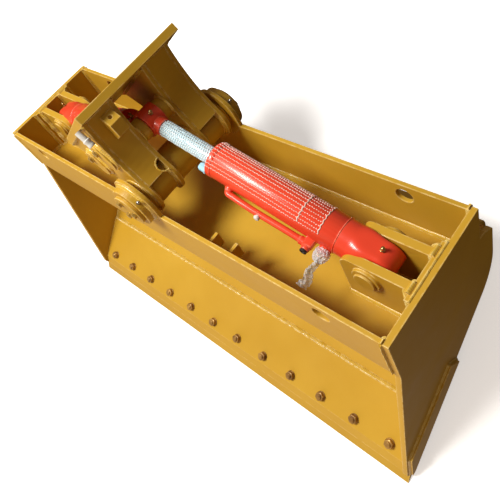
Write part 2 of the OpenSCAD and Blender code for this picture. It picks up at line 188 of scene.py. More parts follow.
def paint(name, dark, light, worn_and_glint, coat=0.1, rough=0.34):
    """Gloss machine paint: cloudy thickness, orange peel, dust, and bright rubbed edges that are partly real wear and
    partly painted highlight for the glints on rounded edges.
    """
    n = Nodes(name)
    cloud = n.ramp(n.noise(2.3), 0.3, 0.7)
    fine = n.ramp(n.noise(38, 5), 0.35, 0.75)
    base = n.mix(n.math("MULTIPLY", cloud, 0.75), dark, light)
    base = n.mix(n.math("MULTIPLY", fine, 0.18), base, dark)
    # Rubbed edges and painted highlight: outer edges get the lighter worn colour, which stands for glints of light on
    # them as well as wear.
    scuff_and_glint = n.math("MULTIPLY", n.edges(0.005), n.ramp(n.noise(60, 4), 0.36, 0.58))
    base = n.mix(n.math("MULTIPLY", scuff_and_glint, 0.75), base, worn_and_glint)
    rough = n.math("ADD", n.ramp(n.noise(9, 4), 0.3, 0.7, rough, rough + 0.14), n.math("MULTIPLY", scuff_and_glint, 0.15))
    peel = n.math("ADD", n.noise(420, 2), n.math("MULTIPLY", n.noise(24, 3), 2.0))
    return n.set(
        Base_Color=base, Roughness=rough, Normal=n.bump(peel, 0.0006, 0.3), Coat_Weight=coat, Coat_Roughness=0.12,
        Specular_IOR_Level=0.32,
    )


def metal(name, dark, light, rough, grain=260, metallic=1.0):
    """Bare metal with fine grain, blotches of oil and a little wear."""
    n = Nodes(name)
    blot = n.ramp(n.noise(30, 4), 0.35, 0.7)
    return n.set(
        Base_Color=n.mix(blot, dark, light),
        Metallic=metallic,
        Roughness=n.ramp(n.noise(55, 4), 0.3, 0.7, rough, rough + 0.14),
        Normal=n.bump(n.noise(grain, 3), 0.0003, 0.3),
    )


def plastic(name, dark, light, rough=0.3, transmission=0.0, alpha=1.0):
    n = Nodes(name)
    return n.set(
        Base_Color=n.mix(n.ramp(n.noise(45, 3), 0.3, 0.7), dark, light),
        Roughness=n.ramp(n.noise(120, 3), 0.3, 0.7, rough, rough + 0.15),
        Normal=n.bump(n.noise(300, 2), 0.0004, 0.3),
        Transmission_Weight=transmission,
        Alpha=alpha,
    )


GOLD = paint("yellow_paint", (0.52, 0.292, 0.022), (0.64, 0.388, 0.034), (0.95, 0.78, 0.38), 0.05, 0.37)
# Weld paint: lighter than the yellow paint as a painted highlight for the glints on the weld beads, and glossier.
WELD_GOLD_WITH_PAINTED_GLINT = paint("weld_paint_with_painted_glint", (0.58, 0.35, 0.03), (0.72, 0.46, 0.05), (0.92, 0.76, 0.34), 0.5, 0.2)
RED = paint("red_paint", (0.74, 0.050, 0.020), (0.88, 0.080, 0.030), (0.92, 0.30, 0.20), 0.3, 0.24)
# The chrome's pale blue base colour with low metallic is painted reflection, standing for the bright sky mirrored in
# the rod.
CHROME_WITH_PAINTED_SKY = metal("chrome", (0.58, 0.77, 0.86), (0.74, 0.90, 0.98), 0.12, 900, 0.35)
STEEL = metal("pin_steel", (0.36, 0.34, 0.30), (0.58, 0.55, 0.50), 0.28)
ZINC = metal("zinc_bolts", (0.42, 0.27, 0.06), (0.70, 0.50, 0.15), 0.26, 260, 0.5)
EDGE_HARDWARE = metal("edge_hardware", (0.20, 0.095, 0.025), (0.55, 0.32, 0.075), 0.34, 200, 0.35)
BRONZE = metal("bronze", (0.42, 0.27, 0.10), (0.66, 0.46, 0.20), 0.25)
CAP_BLUE = plastic("cap_blue", (0.30, 0.66, 0.88), (0.48, 0.82, 0.97), 0.25)
NET = plastic("net_plastic", (0.78, 0.50, 0.42), (0.95, 0.78, 0.70), 0.42)
ROD_NET = plastic("rod_net", (0.74, 0.92, 0.98), (0.90, 0.98, 1.0), 0.4)
FILM = plastic("film", (0.80, 0.86, 0.90), (0.96, 0.98, 1.0), 0.14, 0.4, 0.72)
SPIGOT = plastic("pale_plastic", (0.62, 0.62, 0.58), (0.82, 0.82, 0.78), 0.3)
# Near-black material of the port plug: painted shade for the dark inside of an open port.
PAINTED_PORT_SHADE = plastic("painted_port_shade_black", (0.012, 0.010, 0.010), (0.035, 0.03, 0.028), 0.5)

SLOTS = {
    "yellow_paint": GOLD, "red_paint": RED, "chrome": CHROME_WITH_PAINTED_SKY, "pin_steel": STEEL, "zinc_bolts": ZINC,
    "edge_hardware": EDGE_HARDWARE, "bronze": BRONZE, "pale_plastic": CAP_BLUE, "net_plastic": NET,
}
SLOT_OF = {row["node"]: row["material_slot"] for row in frame["record"]["subparts"]}


def dress_cad_nodes():
    """Gives every CAD node its finish, and rounds its edges by a millimetre as real plates have."""
    for name, node in frame["nodes"].items():
        node.data.materials.clear()
        node.data.materials.append(SLOTS[SLOT_OF[name]])
        weld = node.modifiers.new("join", "WELD")
        weld.merge_threshold = 0.00002
        flat = node.modifiers.new("flat_faces", "DECIMATE")
        flat.decimate_type = "DISSOLVE"
        flat.angle_limit = math.radians(0.6)
        bevel = node.modifiers.new("soft_edges", "BEVEL")
        bevel.width = 0.0016
        bevel.segments = 2
        bevel.limit_method = "ANGLE"
        bevel.angle_limit = math.radians(35)
        bevel.harden_normals = True


dress_cad_nodes()

# ---- Building in mesh code ----


def turn(n, start=0.0, end=2 * math.pi, closed=True):
    """n angles round a circle, or from start to end with both ends."""
    return [start + (end - start) * i / (n if closed else n - 1) for i in range(n)]


def through(points, steps):
    """A smooth path through the points."""
    points = [Vector(p) for p in points]
    padded = [2 * points[0] - points[1], *points, 2 * points[-1] - points[-2]]
    path = []
    for a, b, c, d in zip(padded, padded[1:], padded[2:], padded[3:]):
        for i in range(steps):
            t = i / steps
            path.append(0.5 * (2 * b + (c - a) * t + (2 * a - 5 * b + 4 * c - d) * t * t
                               + (3 * b - a - 3 * c + d) * t ** 3))
    return path + [points[-1]]


class Form:
    """Vertices and faces of one piece, gathered in a local frame."""

    def __init__(self):
        self.verts = []
        self.faces = []

    def skin(self, rings, loop=False):
        """Joins rings of points into a closed skin, as a tube with two end faces or as a loop."""
        base, n = len(self.verts), len(rings[0])
        for ring in rings:
            self.verts.extend(ring)
        for i in range(len(rings) if loop else len(rings) - 1):
            a, b = base + i * n, base + (i + 1) % len(rings) * n
            self.faces += [(a + j, a + (j + 1) % n, b + (j + 1) % n, b + j) for j in range(n)]
        if not loop:
            self.faces.append(tuple(range(base + n - 1, base - 1, -1)))
            self.faces.append(tuple(range(base + (len(rings) - 1) * n, base + len(rings) * n)))

    def tube(self, path, radius, segments=10, flat=1.0, side=None):
        """A tube along a path, whose radius is a number or a function of the ring's number."""
        last = len(path) - 1
        rings = []
        for i, p in enumerate(path):
            t = (path[min(i + 1, last)] - path[max(i - 1, 0)]).normalized()
            side = t.orthogonal() if side is None else side
            side = (side - t * side.dot(t)).normalized()
            r = radius(i) if callable(radius) else radius
            up = t.cross(side)
            rings.append([p + r * (math.cos(a) * side + flat * math.sin(a) * up) for a in turn(segments)])
        self.skin(rings)

    def lathe(self, at, axis, profile, segments=32, start=0.0):
        """A turned shape: profile is a list of (height along the axis, radius)."""
        axis = Vector(axis).normalized()
        side = axis.orthogonal().normalized()
        up = axis.cross(side)
        around = [math.cos(a + start) * side + math.sin(a + start) * up for a in turn(segments)]
        self.skin([[Vector(at) + axis * h + r * v for v in around] for h, r in profile])

    def hexagon(self, at, axis, apothem, height, spin=0.0):
        """A nut or bolt head with chamfered corners and a dished top."""
        axis = Vector(axis).normalized()
        side = axis.orthogonal().normalized()
        up = axis.cross(side)
        rim = apothem * 0.95
        rings = [[] for _ in range(6)]
        for a in turn(48):
            r = apothem / math.cos(a % (math.pi / 3) - math.pi / 6)
            v = math.cos(a + spin) * side + math.sin(a + spin) * up
            cut = (r - rim) * 0.55
            places = ((0, rim), (cut, r), (height - cut, r), (height, rim),
                      (height, apothem * 0.6), (height * 0.94, apothem * 0.52))
            for ring, (h, radius) in zip(rings, places):
                ring.append(Vector(at) + axis * h + radius * v)
        self.skin(rings)

    def weld(self, frames, leg, loop=False, pitch=0.0055):
        """A rippled fillet weld. frames are (corner, one leg's direction, the other leg's direction)."""
        path, along = [], 0.0
        corners = [f[0] for f in frames] + ([frames[0][0]] if loop else [])
        seed = random.random() * 90
        for i in range(len(corners) - 1):
            a, b = frames[i], frames[(i + 1) % len(frames)]
            length = (b[0] - a[0]).length
            steps = max(1, round(length * 3 / pitch))
            for j in range(steps):
                t = j / steps
                path.append((a[0].lerp(b[0], t), a[1].lerp(b[1], t), a[2].lerp(b[2], t), along + length * t))
            along += length
        if not loop:
            path.append((*frames[-1], along))
        rings = []
        for i, (p, u, v, s) in enumerate(path):
            near = path[(i + 1) % len(path)][0] if loop or i + 1 < len(path) else p
            back = path[i - 1][0] if loop or i else p
            t = (near - back).normalized()
            ripple = 0.5 + 0.5 * math.sin(2 * math.pi * s / pitch)
            wander = noise.noise(Vector((s * 45, seed, 0.0)))
            size = leg * (0.9 + 0.13 * ripple + 0.22 * wander)
            ring = [p - (u + v) * 0.0006]
            for a in turn(5, 0, math.pi / 2, False):
                bulge = 0.86 + 0.14 * abs(math.cos(2 * a))
                ring.append(p + size * bulge * (math.cos(a) * u + math.sin(a) * v) + t * pitch * 0.3 * math.sin(2 * a))
            rings.append(ring)
        self.skin(rings, loop)

    def seam(self, a, b, u, v, leg=0.006):
        self.weld([(Vector(a), Vector(u), Vector(v)), (Vector(b), Vector(u), Vector(v))], leg)

    def ring_weld(self, at, axis, radius, leg=0.006, n=40):
        """A weld round a bar that stands on a face: axis points away from the face."""
        axis = Vector(axis).normalized()
        side = axis.orthogonal().normalized()
        up = axis.cross(side)
        around = [math.cos(a) * side + math.sin(a) * up for a in turn(n)]
        self.weld([(Vector(at) + radius * v, axis, v) for v in around], leg, True)

    def nipple(self, at, axis, size=1.0):
        """A grease nipple: hexagon foot, neck and ball."""
        self.hexagon(at, axis, 0.0042 * size, 0.004 * size)
        profile = [(0.004, 0.003), (0.0075, 0.0026), (0.0085, 0.0036), (0.0105, 0.0036), (0.0122, 0.0022),
                   (0.0126, 0.0008)]
        self.lathe(at, axis, [(h * size, r * size) for h, r in profile], 16)


def build(name, form, matrix, body, material, nodes=(), angle=38):
    """Makes a piece of the form, placed by the matrix, that rides on the body and stands for the nodes."""
    mesh = bpy.data.meshes.new(name)
    mesh.from_pydata([matrix @ v for v in form.verts], [], form.faces)
    bm = bmesh.new()
    bm.from_mesh(mesh)
    bmesh.ops.recalc_face_normals(bm, faces=bm.faces)
    bm.to_mesh(mesh)
    bm.free()
    mesh.shade_smooth()
    mesh.set_sharp_from_angle(angle=math.radians(angle))
    mesh.materials.append(material)
    piece = bpy.data.objects.new(name, mesh)
    bpy.context.scene.collection.objects.link(piece)
    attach(piece, body)
    if nodes:
        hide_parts(*nodes)
    return piece


random.seed(11)
Y = Vector((0, 1, 0))
Z = Vector((0, 0, 1))
ENDS = (-1, 1)
FLOOR = span("trough_floor", TROUGH)
FRONT_WALL = span("front_wall", TROUGH)
PAD = 0.012  # thickness of an end pad
PAD_HALF = 0.075  # half its width
LUG = 0.022  # thickness of a lug
BOSS_R = 0.062
INNER = FLOOR[1].x
WALL_TOP = FRONT_WALL[1].z
BRACKETS = [(0.215, 0.225), (0.285, 0.295), (-0.165, -0.155)]


def trough_welds():
    """Welds of the trough: its walls, floor, end pads, lugs and pivot bosses."""
    w = Form()
    z = FLOOR[1].z
    inside, outside = FRONT_WALL[1].y, FRONT_WALL[0].y
    w.seam((-INNER, inside, z), (INNER, inside, z), Y, Z, 0.007)
    w.seam((-INNER, -inside, z), (INNER, -inside, z), -Y, Z, 0.007)
    w.seam((-INNER, inside, FLOOR[0].z), (INNER, inside, FLOOR[0].z), Y, -Z, 0.007)
    for s in ENDS:
        x = s * INNER
        lug = span("lug_left_rear" if s < 0 else "lug_right_rear", TROUGH)
        lug_y = (lug[0].y, lug[0].y + LUG)
        lug_end = lug[1].x if s < 0 else lug[0].x
        for e in ENDS:
            w.seam((x, e * -inside, z), (x, e * -inside, WALL_TOP), -s * X, -e * Y, 0.007)
            w.seam((x, e * -outside, z), (x, e * -outside, WALL_TOP - 0.004), -s * X, e * Y, 0.006)
            w.seam((x, e * PAD_HALF, z), (x, e * -inside, z), -s * X, Z, 0.007)
            w.seam((x, e * PAD_HALF, z), (x, e * PAD_HALF, WALL_TOP), -s * X, e * Y, 0.008)
            w.seam((x, e * -inside, WALL_TOP), (x, e * -outside, WALL_TOP), -s * X, Z, 0.006)
            tip = lug_y[1] + 0.006
            for u in (-X, X):
                w.seam((x - s * PAD, e * lug_y[0], WALL_TOP), (x - s * PAD, e * tip, WALL_TOP), u, Z, 0.0065)
                w.seam((x, 0, WALL_TOP), (x, e * PAD_HALF, WALL_TOP), u, Z, 0.0035)
            w.seam((x - s * PAD, e * lug_y[1], z), (x - s * PAD, e * PAD_HALF, z), -s * X, Z, 0.006)
            w.seam((x - s * PAD, e * lug_y[1], z), (x - s * PAD, e * lug_y[1], WALL_TOP), -s * X, e * Y, 0.013)
            w.seam((x - s * PAD, e * lug_y[0], z), (x - s * PAD, e * lug_y[0], WALL_TOP), -s * X, -e * Y, 0.007)
            w.seam((lug_end, e * lug_y[1], z), (x - s * PAD, e * lug_y[1], z), e * Y, Z, 0.007)
            w.seam((lug_end, e * lug_y[0], z), (x - s * PAD, e * lug_y[0], z), -e * Y, Z, 0.006)
            w.seam((lug_end, e * lug_y[0], z), (lug_end, e * lug_y[1], z), -s * X, Z, 0.007)
    for e in ENDS:
        w.ring_weld((0, e * -outside, 0), e * Y, BOSS_R, 0.007, 64)
    for x0, x1 in BRACKETS:
        for x, u in ((x0, -X), (x1, X)):
            w.seam((x, inside, WALL_TOP - 0.08), (x, inside, WALL_TOP - 0.038), u, Y, 0.004)
    return w


# The bowl's profile: the heel's centre and radius, the sole's height, the base edge's back, and the straight back.
HEEL_Y = 0.518
HEEL_R = 0.155
HEEL_END = 38  # degrees under the level where the bend ends
SOLE = 0.026
EDGE_BACK = 0.165
BACK_RISE = 0.085
PLATE_T = 0.016  # thickness of a side plate


def bowl_welds():
    """Welds inside the bowl and under the sole, in the row frame."""
    w = Form()
    w.seam((-INNER, EDGE_BACK, SOLE), (INNER, EDGE_BACK, SOLE), Y, Z, 0.009)
    centre = Vector((0, HEEL_Y, SOLE + HEEL_R))
    for s in ENDS:
        side = Vector((s * INNER, 0, 0))
        line = [(side + Vector((0, EDGE_BACK, SOLE)), Z), (side + Vector((0, HEEL_Y, SOLE)), Z)]
        for a in turn(14, -math.pi / 2, -math.radians(HEEL_END), False)[1:]:
            out = Vector((0, math.cos(a), math.sin(a)))
            line.append((side + centre + HEEL_R * out, -out))
        line.append((line[-1][0] + BACK_RISE * X.cross(PIN), line[-1][1]))
        w.weld([(p, -s * X, v) for p, v in line], 0.007)
        low = TROUGH @ Vector((s * INNER, FRONT_WALL[0].y + 0.004, FLOOR[0].z))
        w.seam(low, low + 0.19 * PIN, -s * X, -X.cross(PIN), 0.006)
        out = s * (INNER + PLATE_T)
        w.seam((out, 0.33, 0.017), (out, 0.33, 0.076), s * X, Y, 0.005)
        top = Vector((0, 0.016, 0.285)).normalized()
        w.seam((out, 0.33, 0.076), (out, 0.045, 0.092), s * X, top, 0.005)
        w.seam((out, 0.045, 0.092), (out, -0.028, 0.028), s * X, Vector((0, -0.66, 0.75)), 0.005)
    strips = span("wear_strips", ROW)
    for i in range(-2, 3):
        for e in ENDS:
            x = i * 0.3 + e * 0.03
            w.seam((x, strips[0].y, strips[1].z), (x, strips[1].y, strips[1].z), e * X, -Z, 0.005)
    return w


build("trough_welds", trough_welds(), TROUGH, "bucket", WELD_GOLD_WITH_PAINTED_GLINT)
build("bowl_welds", bowl_welds(), ROW, "bucket", WELD_GOLD_WITH_PAINTED_GLINT)

PLATE = span("mounting_plate", HEAD)
WEBS = [span(name, HEAD) for name in ("front_outer_web", "front_inner_web", "rear_inner_web", "rear_outer_web")]
FLAG_X, FLAG_Z, FLAG_L, FLAG_R = 0.050, 0.116, 0.038, 0.022
TUBE_R, COLLAR_R = 0.050, 0.030
SHEET_X, SHEET_PORT_Z, SHEET_PORT_R = 0.0625, 0.022, 0.020


def hanger_welds():
    """Welds of the hanger: webs to the plate and the tube, rims of the pin flags, and the pin collars."""
    w = Form()
    for low, high in WEBS:
        reach = high.x - 0.004
        for y, u in ((low.y, -Y), (high.y, Y)):
            w.seam((-reach, y, PLATE[0].z), (reach, y, PLATE[0].z), u, -Z, 0.007)
            w.ring_weld((0, y, 0), u, TUBE_R, 0.006)
    front = WEBS[0][0].y
    for s in ENDS:
        rim = [Vector((FLAG_R * math.cos(a), 0, FLAG_L + FLAG_R * math.sin(a))) for a in turn(13, 0, math.pi, False)]
        rim += [Vector((FLAG_R * math.cos(a), 0, FLAG_R * math.sin(a)))
                for a in turn(13, math.pi, 2 * math.pi, False)]
        frames = []
        for i, p in enumerate(rim):
            along = (rim[(i + 1) % len(rim)] - rim[i - 1]).normalized()
            frames.append((p + Vector((s * FLAG_X, front, FLAG_Z)), -Y, along.cross(Y)))
        if frames[0][2].x < 0:
            frames = [(p, u, -v) for p, u, v in frames]
        w.weld(frames, 0.0065, True)
        for y, u in ((WEBS[1][1].y, Y), (WEBS[2][0].y, -Y)):
            w.ring_weld((s * FLAG_X, y, FLAG_Z), u, COLLAR_R, 0.005)
    port = [Vector((SHEET_X, WEBS[1][0].y + SHEET_PORT_R * math.cos(a), SHEET_PORT_Z + SHEET_PORT_R * math.sin(a)))
            for a in turn(25, math.pi / 2, 1.5 * math.pi, False)]
    w.tube(port, lambda i: 0.0024 + 0.0004 * math.sin(i * 1.9), 8)
    return w


build("hanger_welds", hanger_welds(), HEAD, "hanger", WELD_GOLD_WITH_PAINTED_GLINT)

# ---- Fasteners ----

NUTS = span("edge_nuts", ROW)
BOSS_CAP = span("pin_end_caps", TROUGH)
EDGE_BOLTS = 12
BOLT_PITCH = 1.468 / EDGE_BOLTS
CAP_BOLT_CIRCLE = 0.028


def plow_nuts():
    """Nuts on washers, with the bolts' threaded ends standing out of them."""
    f = Form()
    y = (NUTS[0].y + NUTS[1].y) / 2
    for i in range(EDGE_BOLTS):
        at = Vector(((i - (EDGE_BOLTS - 1) / 2) * BOLT_PITCH, y, NUTS[0].z))
        f.lathe(at, Z, [(-0.0003, 0.0150), (0.0024, 0.0150), (0.0029, 0.0143), (0.0029, 0.009)])
        f.hexagon(at + 0.0025 * Z, Z, 0.0125, 0.0115, random.random())
        thread = [(0.012 + 0.0004 * j, 0.0080 - 0.0006 * (j % 2)) for j in range(16)]
        f.lathe(at, Z, [*thread, (0.0186, 0.0066), (0.0188, 0.003)], 20)
    return f


def cap_bolts():
    f = Form()
    for e in ENDS:
        y = BOSS_CAP[1].y if e > 0 else BOSS_CAP[0].y
        for a in turn(3):
            at = CAP_BOLT_CIRCLE * Vector((math.cos(a), 0, -math.sin(a))) + y * Y
            f.lathe(at - e * 0.0003 * Y, e * Y, [(0, 0.0105), (0.0018, 0.0105), (0.0022, 0.0098), (0.0022, 0.006)])
            f.hexagon(at + e * 0.0018 * Y, e * Y, 0.0077, 0.0062, random.random())
    return f


def flag_bolts():
    f = Form()
    y = span("rod_pins", HEAD)[0].y
    for s in ENDS:
        at = Vector((s * FLAG_X, y, FLAG_Z + FLAG_L))
        f.lathe(at + 0.0003 * Y, -Y, [(0, 0.0110), (0.002, 0.0110), (0.0025, 0.0102), (0.0025, 0.006)])
        f.hexagon(at - 0.002 * Y, -Y, 0.0078, 0.005, random.random())
    return f


build("plow_nuts", plow_nuts(), ROW, "bucket", EDGE_HARDWARE, ["edge_nuts"], 30)
build("boss_cap_bolts", cap_bolts(), TROUGH, "bucket", ZINC, ["end_cap_bolts"], 30)
build("pin_flag_bolts", flag_bolts(), HEAD, "hanger", ZINC, ["rod_pin_bolts"], 30)


def boss_nipples():
    f = Form()
    for e in ENDS:
        a = math.radians(38)
        out = Vector((math.cos(a), 0, math.sin(a)))
        f.nipple(0.0615 * out + e * (-FRONT_WALL[0].y + 0.011) * Y, out, 1.1)
    return f


build("boss_nipples", boss_nipples(), TROUGH, "bucket", STEEL)


def spigot():
    """A hollow plastic hose end with a lip and a collar."""
    low, high = span("front_spigot", HEAD)
    x, y = (low.x + high.x) / 2, (low.y + high.y) / 2
    f = Form()
    f.lathe((x, y, low.z), Z, [(0.010, 0.0052), (0, 0.0055), (0, 0.0086), (0.0025, 0.0096), (0.006, 0.0090),
                               (0.012, 0.0084), (0.016, 0.0100), (0.019, 0.0100), (0.021, 0.0080),
                               (high.z - low.z, 0.0080)], 28)
    return f


build("hose_spigot", spigot(), HEAD, "hanger", SPIGOT, ["front_spigot"])

# ---- Cylinders ----

PIPE_Y, PIPE_Z, PIPE_R = -0.0545, -0.015, 0.008
ELBOW_X, SADDLE_X, PLUG_X, PORT_X = 0.150, 0.385, 0.285, 0.112
CAP_X, CAP_Y = 0.4545, -0.0355
BUSH_R = 0.0251  # bore of the base eye, just clear of its bush
EYE_HALF = 0.030  # half the base eye's width
DOME_END = 0.0945
BARREL_R = span("right_barrel", CYLINDER["right"])[1].z


def barrel_fittings(side):
    """The bent feed pipe, its elbow block and saddle, the base port's boss, and the barrel's welds."""
    low, high = span(side + "_barrel", CYLINDER[side])
    r = high.z
    f = Form()
    bend = [(SADDLE_X, -0.040), (SADDLE_X, -0.047), (SADDLE_X - 0.006, -0.0535), (SADDLE_X - 0.023, PIPE_Y),
            (SADDLE_X - 0.08, PIPE_Y - 0.0015), (ELBOW_X + 0.06, PIPE_Y), (ELBOW_X, PIPE_Y)]
    f.tube(through([(x, y, PIPE_Z) for x, y in bend], 8), PIPE_R, 16)
    saddle = [(0, 0.013), (0.008, 0.012), (0.011, 0.0095), (0.0125, 0.0088), (0.0125, 0.006)]
    f.lathe((SADDLE_X, -0.036, PIPE_Z), -Y, saddle)
    rings = []
    for y, half_x, half_z in ((-0.036, 0.0135, 0.0125), (-0.046, 0.0125, 0.0115), (-0.0605, 0.0118, 0.0108),
                              (-0.063, 0.0095, 0.0085), (-0.063, 0.0075, 0.0068)):
        ring = []
        for a in turn(32):
            c, s = math.cos(a), math.sin(a)
            square = (abs(c) ** 6 + abs(s) ** 6) ** (-1 / 6)
            ring.append(Vector((ELBOW_X + half_x * c * square, y, PIPE_Z + half_z * s * square)))
        rings.append(ring)
    f.skin(rings)
    f.lathe((ELBOW_X, -0.0625, PIPE_Z), -Y, [(0, 0.0108), (0.007, 0.0108), (0.0085, 0.0098), (0.0085, 0.0078),
                                             (0.0015, 0.0074)], 24)
    nut = [(-0.004, 0.0105), (0.008, 0.0105), (0.0095, 0.0085), (0.0095, 0.0065)]
    f.lathe((ELBOW_X + 0.0135, PIPE_Y, PIPE_Z), X, nut, 24)
    f.lathe((PORT_X, -0.034, PIPE_Z), -Y, [(0, 0.0165), (0.010, 0.0150), (0.021, 0.0140), (0.0225, 0.0128),
                                          (0.0225, 0.008)])
    around = [Vector((0, math.cos(a), math.sin(a))) for a in turn(56)]
    for u in (X, -X):
        f.weld([(Vector((low.x, 0, 0)) + r * v, u, v) for v in around], 0.0017, True)
    return f


def base_dome():
    """The base end as one smooth casting, from the round barrel to the flat-sided eye, with its bore cut out."""
    f = Form()
    rings = []
    for i in range(41):
        t = i / 40
        x = -BARREL_R * math.cos(min(t * 1.9, 1) * math.pi / 2) if t < 0.53 else 0.075 * (t - 0.53) / 0.47
        half_z = math.sqrt(max(BARREL_R ** 2 - min(x, 0) ** 2, 1e-6))
        u = min(max(x / 0.070, 0), 1)
        blend = u * u * (3 - 2 * u)
        half_y = EYE_HALF + (BARREL_R - EYE_HALF) * blend
        power = 7 - 5 * blend
        ring = []
        for a in turn(64):
            c, s = math.cos(a), math.sin(a)
            square = (abs(c) ** power + abs(s) ** power) ** (-1 / power)
            ring.append(Vector((x, half_y * c * square, half_z * s * square)))
        rings.append(ring)
    for x in (0.084, DOME_END):
        rings.append([Vector((x, BARREL_R * math.cos(a), BARREL_R * math.sin(a))) for a in turn(64)])
    f.skin(rings)
    return f


def bore(piece, place, radius):
    """Cuts a round bore along the base pin through a piece."""
    cutter = Form()
    cutter.lathe((0, -0.08, 0), Y, [(0, radius), (0.16, radius)], 64)
    mesh = bpy.data.meshes.new("cutter")
    mesh.from_pydata([place @ v for v in cutter.verts], [], cutter.faces)
    bm = bmesh.new()
    bm.from_mesh(mesh)
    bmesh.ops.recalc_face_normals(bm, faces=bm.faces)
    bm.to_mesh(mesh)
    bm.free()
    tool = bpy.data.objects.new("cutter", mesh)
    bpy.context.scene.collection.objects.link(tool)
    cut = piece.modifiers.new("bore", "BOOLEAN")
    cut.operation, cut.solver, cut.object = "DIFFERENCE", "EXACT", tool
    bpy.context.view_layer.update()
    result = bpy.data.meshes.new_from_object(piece.evaluated_get(bpy.context.evaluated_depsgraph_get()))
    piece.modifiers.clear()
    piece.data = result
    result.shade_smooth()
    result.set_sharp_from_angle(angle=math.radians(38))
    bpy.data.objects.remove(tool)


def port_shade_disc():
    """A near-black plug in the elbow block's port: painted shade, standing for the dark inside of the open port."""
    f = Form()
    f.lathe((ELBOW_X, -0.0645, PIPE_Z), -Y, [(0, 0.0075), (0.0075, 0.0077), (0.0085, 0.0090), (0.0115, 0.0092),
                                             (0.0125, 0.0082), (0.0122, 0.0045), (0.0108, 0.0040)], 24)
    return f


def barrel_caps():
    """The plastic cap on the gland's port."""
    f = Form()
    f.lathe((CAP_X, CAP_Y, 0), X, [(0, 0.0112), (0.0022, 0.0118), (0.0045, 0.0118), (0.005, 0.0106),
                                    (0.019, 0.0100), (0.0215, 0.0092), (0.0225, 0.0068)], 8, 0.3)
    return f


def pipe_plug():
    f = Form()
    f.lathe((PLUG_X, PIPE_Y - 0.005, PIPE_Z), -Y, [(0, 0.0062), (0.004, 0.0062), (0.0045, 0.0075), (0.0075, 0.0078),
                                                   (0.0105, 0.0070), (0.0118, 0.0045)], 18)
    return f


def crumpled(at, size, cuts, seed, rough):
    """A closed lump of crumpled film."""
    bm = bmesh.new()
    bmesh.ops.create_icosphere(bm, subdivisions=cuts, radius=1)
    for v in bm.verts:
        fold = 1 - abs(noise.noise(v.co * 2.1 + Vector((seed, 0, 0)))) * 1.6
        crease = 1 - abs(noise.noise(v.co * 4.6 + Vector((0, seed, 0)))) * 2
        v.co *= 0.88 + rough * (fold - 0.6) + rough * 0.35 * (crease - 0.6)
    form = Form()
    form.verts = [Vector(at) + Vector((v.co.x * size[0], v.co.y * size[1], v.co.z * size[2])) for v in bm.verts]
    form.faces = [tuple(v.index for v in face.verts) for face in bm.faces]
    bm.free()
    return form


def drift(p):
    """A vector that varies smoothly with the point. noise_vector isn't used, as it differs from run to run."""
    return Vector((noise.noise(p), noise.noise(p + 31.4 * X), noise.noise(p + 27.1 * Y)))


def film_tail():
    """The loose end of the film, twisted and hanging from the wrapped port."""
    route = [(-0.002, -0.068, -0.016), (0.0, -0.085, -0.021), (0.002, -0.103, -0.028), (-0.002, -0.120, -0.033),
             (0.001, -0.138, -0.040)]
    path = through([(PORT_X + x, y, z) for x, y, z in route], 18)
    f = Form()
    f.tube(path, lambda i: 0.0075 + 0.002 * noise.noise(Vector((i * 0.4, 3, 1))) + 0.0075 * i / len(path), 24, 0.16)
    for i, v in enumerate(f.verts):
        f.verts[i] = v + 0.0042 * drift(v * 105) + 0.0012 * drift(v * 330)
    return f


for side in SIDES:
    body, place = side + "_barrel", CYLINDER[side]
    build(side + "_feed_pipe_bent", barrel_fittings(side), place, body, RED, [side + "_feed_pipe"])
    # The port plug is painted shade for the open port's dark inside.
    build(side + "_port_painted_shade", port_shade_disc(), place, body, PAINTED_PORT_SHADE)
    build(side + "_gland_cap", barrel_caps(), place, body, CAP_BLUE, [side + "_port_caps"], 25)
    build(side + "_pipe_plug", pipe_plug(), place, body, SPIGOT)
    wrap = crumpled((PORT_X, -0.0585, PIPE_Z), (0.0200, 0.0235, 0.0200), 5, 5.0 if side == "left" else 2.0, 0.2)
    build(side + "_port_film", wrap, place, body, FILM, (), 12)
    dome = build(side + "_base_dome", base_dome(), place, body, RED, [side + "_base_eye"])
    bore(dome, place, BUSH_R)
    nipples = Form()
    nipples.nipple((0, 0, BARREL_R - 0.0008), Z, 1.25)
    build(side + "_base_nipple", nipples, place, body, BRONZE)
    eye = span(side + "_rod_eye", place)
    nipples = Form()
    nipples.nipple((eye[1].x - 0.036 - 0.012, 0, 0.0335), Vector((-0.33, 0, 1)), 1.25)
    build(side + "_eye_nipple", nipples, place, side + "_rod", BRONZE)

build("film_tail", film_tail(), CYLINDER["right"], "right_barrel", FILM, (), 20)


def barrel_net():
    """Knitted netting on the barrel: rows of stitches that dip and rise along it, and its sewn seam."""
    low, high = span("net_sleeve", CYLINDER["right"])
    tail = 0.055
    gland = span("right_gland", CYLINDER["right"])[1].x
    r = BARREL_R
    f = Form()
    stitch = 0.0058
    for k in range(-9, 13):
        a0 = math.radians(12 * k + 2)
        start = low.x - tail + 0.004 * random.random()
        phase = random.random() * 6
        path = []
        for i in range(int((gland - start) / (stitch / 6))):
            x = start + i * stitch / 6
            wave = 2 * math.pi * x / stitch + phase
            rise = 0.0011 * math.sin(wave) - (0.0009 if x < low.x else 0.0004)
            rise += 0.0011 * min(max((x - high.x + 0.004) / 0.006, 0), 1)
            a = a0 + 0.012 * math.sin(wave / 2) + 0.03 * noise.noise(Vector((x * 12, k * 3.1, 0)))
            path.append(Vector((x, (r + rise) * math.cos(a), (r + rise) * math.sin(a))))
        f.tube(path, 0.00105, 5, 1.25, Vector((0, math.cos(a0), math.sin(a0))))
    arc = turn(60, math.radians(-106), math.radians(146), False)
    for x in (low.x, low.x - tail):
        seam = [Vector((x + 0.0012 * math.sin(i * 1.7), (r + 0.0008) * math.cos(a), (r + 0.0008) * math.sin(a)))
                for i, a in enumerate(arc)]
        f.tube(seam, lambda i: 0.0014 + 0.0004 * math.sin(i * 1.7), 6)
    return f


